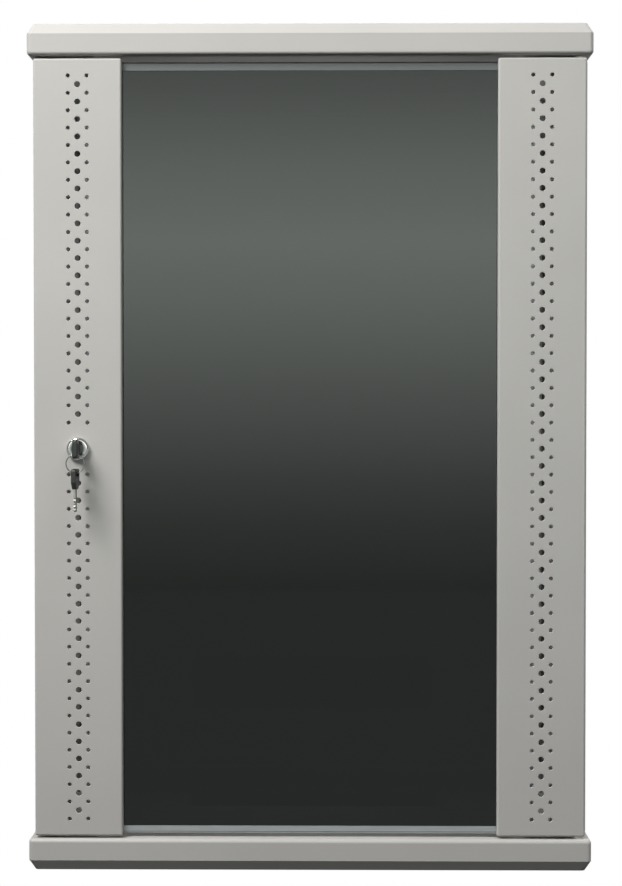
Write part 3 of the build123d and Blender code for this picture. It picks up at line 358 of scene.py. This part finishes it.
MATERIALS = {
    "powder_coat": powder_coat(),
    "zinc_steel": zinc("zinc_steel", (0.58, 0.60, 0.62), 0.30),
    "fasteners": zinc("fasteners", (0.50, 0.51, 0.52), 0.25),
    "aluminium_rail": brushed("aluminium_rail", (0.62, 0.64, 0.65), 0.32, (0.03, 1.0, 1.0)),
    "tinted_glass": tinted_glass(),
    "foam": moulded("foam", (0.012, 0.012, 0.012), (0.02, 0.02, 0.02), 0.75, 900.0, 0.4),
    "rubber": moulded("rubber", (0.015, 0.015, 0.015), (0.024, 0.024, 0.024), 0.6),
    "black_plastic": moulded("black_plastic", (0.014, 0.014, 0.014), (0.022, 0.022, 0.023), 0.34),
    "white_nylon": moulded("white_nylon", (0.74, 0.73, 0.69), (0.80, 0.79, 0.76), 0.38),
    "pin_steel": brushed("pin_steel", (0.50, 0.51, 0.52), 0.24, (1.0, 1.0, 0.05)),
    "chrome": chrome_painted_dark_middle(),
    "cam_steel": yellow_zinc(),
    "key_steel": brushed("key_steel", (0.38, 0.37, 0.35), 0.45, (1.0, 0.05, 1.0)),
}
SPECIAL = {
    # The two glass rails are one material at two levels: the upper painted darker as painted shade under the
    # top cover, the lower painted lighter as painted light.
    "glass_rail_top": satin_rail("upper_rail_painted_shaded", "glass_rail_top", 0.17, 0.85),
    "glass_rail_bottom": satin_rail("lower_rail_painted_lit", "glass_rail_bottom", 0.42, 0.25),
    # The lock's plug is painted near black as a painted dark reflection.
    "lock_plug": brushed("plug_painted_dark_reflection", (0.12, 0.115, 0.115), 0.25, (1.0, 1.0, 1.0), 900.0),
    "key_ring": brushed("ring_steel", (0.26, 0.255, 0.25), 0.20, (1.0, 1.0, 1.0), 900.0),
}


def dress(piece, material):
    """Give a piece one material in all its slots."""
    if not piece.material_slots:
        piece.data.materials.append(material)
    for material_slot in piece.material_slots:
        material_slot.material = material


def smooth(piece):
    """Smooth shading that keeps folds sharp, weighted so that flat sheet stays flat."""
    mesh = piece.data
    mesh.shade_smooth()
    mesh.set_sharp_from_angle(angle=math.radians(FOLD_ANGLE))
    weighted = piece.modifiers.new("weighted", "WEIGHTED_NORMAL")
    weighted.keep_sharp = True
    weighted.weight = FLAT_WEIGHT


for name, node in nodes.items():
    dress(node, SPECIAL.get(name, MATERIALS[slot_of[name]]))


# ---------------------------------------------------------------- door strips

def hole_pattern(low, high, with_lock):
    """(x, z, radius) of a strip's holes, worked out from its box."""
    axis = (low.x + high.x) / 2
    pitch = (high.z - low.z) / (ROWS + 1)
    middle = (low.z + high.z) / 2
    holes = []
    for row in range(ROWS):
        z = low.z + pitch * (row + 1)
        holes += [(axis + side * SMALL_OFFSET, z, SMALL_RADIUS) for side in (-1, 1)]
        if row < ROWS - 1:
            holes.append((axis, z + pitch / 2, LARGE_RADIUS))
    if with_lock:
        holes = [hole for hole in holes if abs(hole[1] - middle) > LOCK_CLEAR_ROWS * pitch]
    return holes


def circle(x, z, radius):
    """Points of a circle in the plane of the strip's front."""
    steps = [2 * math.pi * k / HOLE_SIDES for k in range(HOLE_SIDES)]
    return [Vector((x + radius * math.cos(a), z + radius * math.sin(a))) for a in steps]


def perforated_face(mesh, outline, rings, y, facing):
    """Fill a flat face with round holes; returns each ring's vertices."""
    points = list(outline)
    edges = [(k, (k + 1) % len(outline)) for k in range(len(outline))]
    for ring in rings:
        first = len(points)
        points += ring
        edges += [(first + k, first + (k + 1) % len(ring)) for k in range(len(ring))]
    flat, _, faces, _, _, _ = delaunay_2d_cdt(points, edges, [], 0, SAME_POINT)
    verts = [mesh.verts.new((point.x, y, point.y)) for point in flat]
    ring_ids = {}
    for number, ring in enumerate(rings):
        for k in range(len(ring)):
            ring_ids[len(outline) + number * len(ring) + k] = number
    for face in faces:
        owners = {ring_ids.get(index, -1) for index in face}
        if len(owners) == 1 and -1 not in owners:
            continue
        corners = [verts[index] for index in face]
        made = mesh.faces.new(corners)
        made.normal_update()
        if made.normal.y * facing < 0:
            made.normal_flip()
    first = len(outline)
    sides = len(rings[0])
    return [verts[first + n * sides: first + (n + 1) * sides] for n in range(len(rings))]


def bridge(mesh, ring_a, ring_b):
    """Join two rings of vertices with quads."""
    count = len(ring_a)
    for k in range(count):
        mesh.faces.new((ring_a[k], ring_a[(k + 1) % count], ring_b[(k + 1) % count], ring_b[k]))


def remove_flat_front(mesh, ranges):
    """Delete the faces that lie within ranges, the (low, high) values along X, Y and Z."""
    doomed = []
    for face in mesh.faces:
        corners = [vert.co for vert in face.verts]
        inside = all(
            low - ON_SHEET < corner[axis] < high + ON_SHEET
            for corner in corners
            for axis, (low, high) in enumerate(ranges)
        )
        if inside:
            doomed.append(face)
    bmesh.ops.delete(mesh, geom=doomed, context="FACES")


def rolled_rim(mesh, ring, front_ring, rear_ring, front):
    """The rounded edge of one hole and its wall, from the front face's ring to the rear face's."""
    lip = [mesh.verts.new((point.x, front + RIM, point.y)) for point in ring]
    middle = []
    for k, vert in enumerate(front_ring):
        outward = Vector((vert.co.x - ring[k].x, 0, vert.co.z - ring[k].y))
        inward = Vector((0, RIM * RIM_BULGE, 0))
        at = Vector((ring[k].x, front, ring[k].y)) + outward * RIM_BULGE + inward
        middle.append(mesh.verts.new(at))
    bridge(mesh, front_ring, middle)
    bridge(mesh, middle, lip)
    bridge(mesh, lip, rear_ring)


def perforated_strip(name, with_lock):
    """The folded strip from its CAD shape, with its flat front made again with round, rolled-edge holes."""
    low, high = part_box(name)
    front, rear = low.y, low.y + SHEET
    copy = nodes[name].data.copy()
    mesh = bmesh.new()
    mesh.from_mesh(copy)
    inner_x = (low.x + BEND, high.x - BEND)
    inner_z = (low.z + BEND, high.z - BEND)
    remove_flat_front(mesh, (inner_x, (front, rear), inner_z))
    holes = hole_pattern(low, high, with_lock)
    outline = [Vector((inner_x[i], inner_z[j])) for i, j in ((0, 0), (1, 0), (1, 1), (0, 1))]
    if with_lock:
        lock_low, lock_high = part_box("lock_body")
        holes.append(((lock_low.x + lock_high.x) / 2, (lock_low.z + lock_high.z) / 2, LOCK_HOLE_RADIUS))
    wide = [circle(x, z, radius + RIM) for x, z, radius in holes]
    true = [circle(x, z, radius) for x, z, radius in holes]
    front_rings = perforated_face(mesh, outline, wide, front, -1)
    rear_rings = perforated_face(mesh, outline, true, rear, 1)
    for number, ring in enumerate(true):
        rolled_rim(mesh, ring, front_rings[number], rear_rings[number], front)
    bmesh.ops.remove_doubles(mesh, verts=mesh.verts, dist=WELD)
    bmesh.ops.recalc_face_normals(mesh, faces=mesh.faces)
    mesh.to_mesh(copy)
    mesh.free()
    copy.name = name + "_perforated"
    piece = bpy.data.objects.new(name + "_perforated", copy)
    bpy.context.scene.collection.objects.link(piece)
    dress(piece, MATERIALS[slot_of[name]])
    smooth(piece)
    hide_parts(name)
    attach(piece, body_of[name])


perforated_strip("door_strip_left", True)
perforated_strip("door_strip_right", False)


# ---------------------------------------------------------------- hinge spring

def shortening_spring(name):
    """The spring as a piece of its own, with its own copy of the CAD mesh."""
    piece = bpy.data.objects.new(name + "_coil", nodes[name].data.copy())
    bpy.context.scene.collection.objects.link(piece)
    dress(piece, MATERIALS[slot_of[name]])
    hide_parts(name)
    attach(piece, body_of[name])
    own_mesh(piece)


shortening_spring("hinge_spring")


# ---------------------------------------------------------------- room, light and camera

def emitter(name, strength):
    """White emission material for the studio: (material, tree, emission node)."""
    material = bpy.data.materials.new(name)
    material.use_nodes = True
    tree = material.node_tree
    tree.nodes.remove(tree.nodes["Principled BSDF"])
    glow = add(tree, "ShaderNodeEmission", Strength=strength)
    glow.inputs["Color"].default_value = (*WHITE, 1.0)
    tree.links.new(glow.outputs["Emission"], tree.nodes["Material Output"].inputs["Surface"])
    return material, tree, glow


def flat_square(name, half_x, half_y, place, turn=(0, 0, 0)):
    """A single rectangle for the floor or a light card, turned by degrees about X, Y and Z."""
    mesh = bpy.data.meshes.new(name)
    corners = [(-half_x, -half_y, 0), (half_x, -half_y, 0), (half_x, half_y, 0), (-half_x, half_y, 0)]
    mesh.from_pydata(corners, [], [(0, 1, 2, 3)])
    obj = bpy.data.objects.new(name, mesh)
    obj.location = place
    obj.rotation_euler = [math.radians(angle) for angle in turn]
    bpy.context.scene.collection.objects.link(obj)
    return obj


def pale_floor():
    """A pale floor that looks white, is pale grey in reflections and throws little light back up."""
    floor = flat_square("floor", FLOOR_HALF, FLOOR_HALF, (0, 0, -FLOOR_DROP))
    material, tree, glow = emitter("floor_white", 1.0)
    dull = add(tree, "ShaderNodeBsdfDiffuse")
    dull.inputs["Color"].default_value = (*FLOOR_DULL, 1.0)
    pale = add(tree, "ShaderNodeEmission", Strength=1.0)
    pale.inputs["Color"].default_value = (*FLOOR_SHEEN, 1.0)
    path = tree.nodes.new("ShaderNodeLightPath")
    seen = tree.nodes.new("ShaderNodeMixShader")
    mirrored = tree.nodes.new("ShaderNodeMixShader")
    reflected = add(tree, "ShaderNodeMath", operation="SUBTRACT", use_clamp=True)
    tree.links.new(path.outputs["Is Glossy Ray"], reflected.inputs[0])
    tree.links.new(path.outputs["Is Transmission Ray"], reflected.inputs[1])
    tree.links.new(reflected.outputs["Value"], mirrored.inputs["Fac"])
    tree.links.new(dull.outputs["BSDF"], mirrored.inputs[1])
    tree.links.new(pale.outputs["Emission"], mirrored.inputs[2])
    tree.links.new(path.outputs["Is Camera Ray"], seen.inputs["Fac"])
    tree.links.new(mirrored.outputs["Shader"], seen.inputs[1])
    tree.links.new(glow.outputs["Emission"], seen.inputs[2])
    tree.links.new(seen.outputs["Shader"], tree.nodes["Material Output"].inputs["Surface"])
    floor.data.materials.append(material)


def only_in_reflections(card):
    """Hide a card from everything but glossy rays."""
    card.visible_camera = False
    card.visible_diffuse = False
    card.visible_transmission = False
    card.visible_shadow = False


def reflection_card():
    """A tall softbox behind the camera that only shines in reflections; it fades towards its ends."""
    place = (0, CARD_Y, CARD_HEIGHT / 2)
    card = flat_square("softbox_card", CARD_HALF_WIDTH, CARD_HEIGHT / 2, place, (90, 0, 0))
    material, tree, glow = emitter("softbox_glow", 1.0)
    coordinates = tree.nodes.new("ShaderNodeTexCoord")
    split = tree.nodes.new("ShaderNodeSeparateXYZ")
    tree.links.new(coordinates.outputs["Generated"], split.inputs["Vector"])
    scale = add(tree, "ShaderNodeVectorMath", operation="SCALE")
    scale.inputs["Scale"].default_value = CARD_PEAK
    stops = []
    for height, level in CARD_LEVELS:
        stops.append((height / CARD_HEIGHT, tuple(level * tint for tint in CARD_TINT)))
    tree.links.new(ramp(tree, split.outputs["Y"], stops), scale.inputs[0])
    tree.links.new(scale.outputs["Vector"], glow.inputs["Color"])
    card.data.materials.append(material)
    only_in_reflections(card)


def side_cards():
    """Two pale cards that only shine in reflections, for the bright parts on the cabinet's sides."""
    material, _, _ = emitter("side_glow", SIDE_CARD_LEVEL)
    for side in (-1, 1):
        place = (side * SIDE_CARD_X, 0, CARD_HEIGHT / 2)
        name = f"side_card_{side}"
        card = flat_square(name, SIDE_CARD_HALF_DEPTH, CARD_HEIGHT / 2, place, (90, 0, 90))
        card.data.materials.append(material)
        only_in_reflections(card)


def area_light(name, place, aim, size, watts, colour):
    """A soft rectangular lamp aimed at a point."""
    data = bpy.data.lights.new(name, "AREA")
    data.shape = "RECTANGLE"
    data.size, data.size_y = size
    data.energy = watts
    data.color = colour
    lamp = bpy.data.objects.new(name, data)
    lamp.location = place
    lamp.rotation_euler = (Vector(aim) - Vector(place)).to_track_quat("-Z", "Y").to_euler()
    bpy.context.scene.collection.objects.link(lamp)
    return lamp


def white_world():
    """White background for the camera and weaker light from above for everything else."""
    world = bpy.data.worlds.new("studio")
    bpy.context.scene.world = world
    world.use_nodes = True
    tree = world.node_tree
    even = tree.nodes["Background"]
    even.inputs["Color"].default_value = (*WORLD_TINT, 1.0)
    place = tree.nodes.new("ShaderNodeTexCoord")
    split = tree.nodes.new("ShaderNodeSeparateXYZ")
    tree.links.new(place.outputs["Generated"], split.inputs["Vector"])
    upward = add(tree, "ShaderNodeMapRange")
    upward.inputs["From Min"].default_value = WORLD_FROM[0]
    upward.inputs["From Max"].default_value = WORLD_FROM[1]
    upward.inputs["To Min"].default_value = WORLD_TO[0]
    upward.inputs["To Max"].default_value = WORLD_TO[1]
    tree.links.new(split.outputs["Z"], upward.inputs["Value"])
    tree.links.new(upward.outputs["Result"], even.inputs["Strength"])
    white = add(tree, "ShaderNodeBackground", Strength=1.0)
    white.inputs["Color"].default_value = (*WHITE, 1.0)
    path = tree.nodes.new("ShaderNodeLightPath")
    mix = tree.nodes.new("ShaderNodeMixShader")
    tree.links.new(path.outputs["Is Camera Ray"], mix.inputs["Fac"])
    tree.links.new(even.outputs["Background"], mix.inputs[1])
    tree.links.new(white.outputs["Background"], mix.inputs[2])
    tree.links.new(mix.outputs["Shader"], tree.nodes["World Output"].inputs["Surface"])


def door_middle():
    """The middle of the door's front face."""
    left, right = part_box("door_strip_left"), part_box("door_strip_right")
    return Vector(((left[0].x + right[1].x) / 2, left[0].y, (left[0].z + left[1].z) / 2))


def make_camera():
    """The camera at the photographer's place."""
    data = bpy.data.cameras.new("camera")
    data.sensor_width = CAMERA_SENSOR
    data.lens = CAMERA_LENS
    camera = bpy.data.objects.new("camera", data)
    camera.location = door_middle() + Vector((CAMERA_RIGHT, -CAMERA_DISTANCE, CAMERA_ABOVE))
    camera.rotation_euler = (math.radians(90 - CAMERA_DOWN), 0, math.radians(CAMERA_LEFT))
    bpy.context.scene.collection.objects.link(camera)
    bpy.context.scene.camera = camera


pale_floor()
reflection_card()
side_cards()
white_world()
for name, place, aim, size, watts, colour, in_reflections, through_glass in LAMPS:
    lamp = area_light(name, place, aim, size, watts, colour)
    lamp.visible_glossy = in_reflections
    lamp.visible_transmission = through_glass
make_camera()

scene = bpy.context.scene
scene.view_settings.view_transform = "Standard"
scene.view_settings.look = "None"
